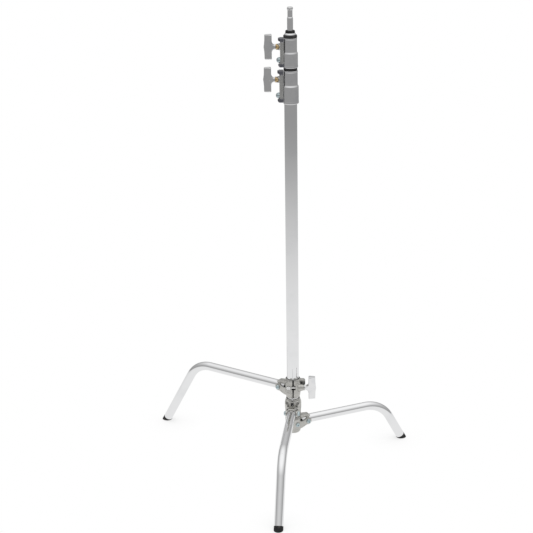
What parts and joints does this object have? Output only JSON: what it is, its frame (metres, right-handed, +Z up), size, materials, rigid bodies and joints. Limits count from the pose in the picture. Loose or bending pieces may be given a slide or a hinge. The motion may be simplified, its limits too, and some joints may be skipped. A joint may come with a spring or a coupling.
{
  "type": "lighting grip stand",
  "caption": "Telescoping lighting grip stand with clamped risers, a top spigot and a turtle-style base of bent tube legs, the longest sliding on the column.",
  "frame": {"origin": "centre of the base casting's flat underside, on the column axis; the floor is 93 mm below it", "axes": "+Z up the column; -X towards the two riser clamp handles, -Y towards the front, where the sliding collar is split"},
  "size_m": [0.748, 0.7377, 1.344],
  "materials": {
    "chrome_tube": "polished chrome-plated steel tube, mirror bright",
    "chrome_casting": "chrome-plated casting, bright with a faint orange-peel",
    "satin_casting": "satin nickel-plated casting with fine cast grain",
    "zinc_bolt": "blue-white zinc plate",
    "bright_steel": "bright machined steel",
    "brass_insert": "turned brass",
    "black_nylon": "black moulded nylon",
    "black_rubber": "black rubber"
  },
  "bodies": {
    "root": {"base_casting": "satin_casting", "base_set_bolt": "zinc_bolt", "column_tube": "chrome_tube", "column_collar": "chrome_casting", "column_collar_ring": "black_nylon", "column_clamp_block": "satin_casting", "column_clamp_insert": "brass_insert", "column_clamp_bolt": "zinc_bolt", "short_leg_tube": "chrome_tube", "short_leg_foot": "black_rubber", "short_leg_bolt": "zinc_bolt", "short_leg_nut": "zinc_bolt"},
    "column_shoe": {"column_brake_shoe": "black_nylon"},
    "column_handle": {"column_tee_handle": "chrome_casting", "column_tee_screw": "bright_steel"},
    "riser1_guide": {"riser1_guide_bush": "black_nylon"},
    "riser1": {"riser1_tube": "chrome_tube", "riser1_collar": "chrome_casting", "riser1_collar_ring": "black_nylon", "riser1_clamp_block": "satin_casting", "riser1_clamp_insert": "brass_insert", "riser1_clamp_bolt": "zinc_bolt"},
    "riser1_shoe": {"riser1_brake_shoe": "black_nylon"},
    "riser1_handle": {"riser1_tee_handle": "chrome_casting", "riser1_tee_screw": "bright_steel"},
    "riser2_guide": {"riser2_guide_bush": "black_nylon"},
    "riser2": {"riser2_tube": "chrome_tube", "riser2_cap": "chrome_tube", "spigot": "chrome_tube", "bumper_ring": "black_rubber"},
    "collar_slide": {"sliding_collar_liner": "black_nylon"},
    "long_leg": {"sliding_collar": "satin_casting", "long_leg_tube": "chrome_tube", "long_leg_foot": "black_rubber", "long_leg_bolt": "zinc_bolt", "long_leg_nut": "zinc_bolt", "collar_square_nut": "bright_steel"},
    "leg_clamp": {"leg_clamp_washer": "bright_steel"},
    "leg_handle": {"leg_tee_handle": "chrome_casting", "leg_tee_screw": "bright_steel"},
    "middle_leg": {"middle_hub": "satin_casting", "middle_leg_tube": "chrome_tube", "middle_leg_foot": "black_rubber", "middle_leg_bolt": "zinc_bolt", "middle_leg_nut": "zinc_bolt"}
  },
  "joints": [
    {"name": "riser1_extend", "type": "slide", "parent": "root", "child": "riser1_guide", "axis": [0, 0, 1], "range_m": [0, 0.9]},
    {"name": "riser1_turn", "type": "hinge", "parent": "riser1_guide", "child": "riser1", "pos_m": [0, 0, 0.5], "axis": [0, 0, 1], "continuous": true},
    {"name": "riser2_extend", "type": "slide", "parent": "riser1", "child": "riser2_guide", "axis": [0, 0, 1], "range_m": [0, 0.9]},
    {"name": "riser2_turn", "type": "hinge", "parent": "riser2_guide", "child": "riser2", "pos_m": [0, 0, 0.8], "axis": [0, 0, 1], "continuous": true},
    {"name": "long_leg_raise", "type": "slide", "parent": "root", "child": "collar_slide", "axis": [0, 0, 1], "range_m": [0, 0.8]},
    {"name": "long_leg_swing", "type": "hinge", "parent": "collar_slide", "child": "long_leg", "pos_m": [0, 0, 0.139], "axis": [0, 0, 1], "range_deg": [-120, 0]},
    {"name": "middle_leg_swing", "type": "hinge", "parent": "root", "child": "middle_leg", "pos_m": [0, 0, 0.08], "axis": [0, 0, 1], "range_deg": [0, 120]},
    {"name": "column_shoe_release", "type": "slide", "parent": "root", "child": "column_shoe", "axis": [-1, 0, 0], "range_m": [0, 0.00226]},
    {"name": "column_handle_turn", "type": "hinge", "parent": "column_shoe", "child": "column_handle", "pos_m": [-0.0422, 0, 1.054], "axis": [-1, 0, 0], "range_deg": [0, 540]},
    {"name": "riser1_shoe_release", "type": "slide", "parent": "riser1", "child": "riser1_shoe", "axis": [-1, 0, 0], "range_m": [0, 0.00226]},
    {"name": "riser1_handle_turn", "type": "hinge", "parent": "riser1_shoe", "child": "riser1_handle", "pos_m": [-0.0397, 0, 1.144], "axis": [-1, 0, 0], "range_deg": [0, 540]},
    {"name": "leg_clamp_release", "type": "slide", "parent": "long_leg", "child": "leg_clamp", "axis": [1, 0, 0], "range_m": [0, 0.00226]},
    {"name": "leg_handle_turn", "type": "hinge", "parent": "leg_clamp", "child": "leg_handle", "pos_m": [0.0343, -0.026, 0.151], "axis": [1, 0, 0], "range_deg": [0, 540]}
  ],
  "couplings": [
    {"joint": "column_shoe_release", "follows": "column_handle_turn", "m_per_rad": 0.00023873},
    {"joint": "riser1_shoe_release", "follows": "riser1_handle_turn", "m_per_rad": 0.00023873},
    {"joint": "leg_clamp_release", "follows": "leg_handle_turn", "m_per_rad": 0.00023873}
  ]
}
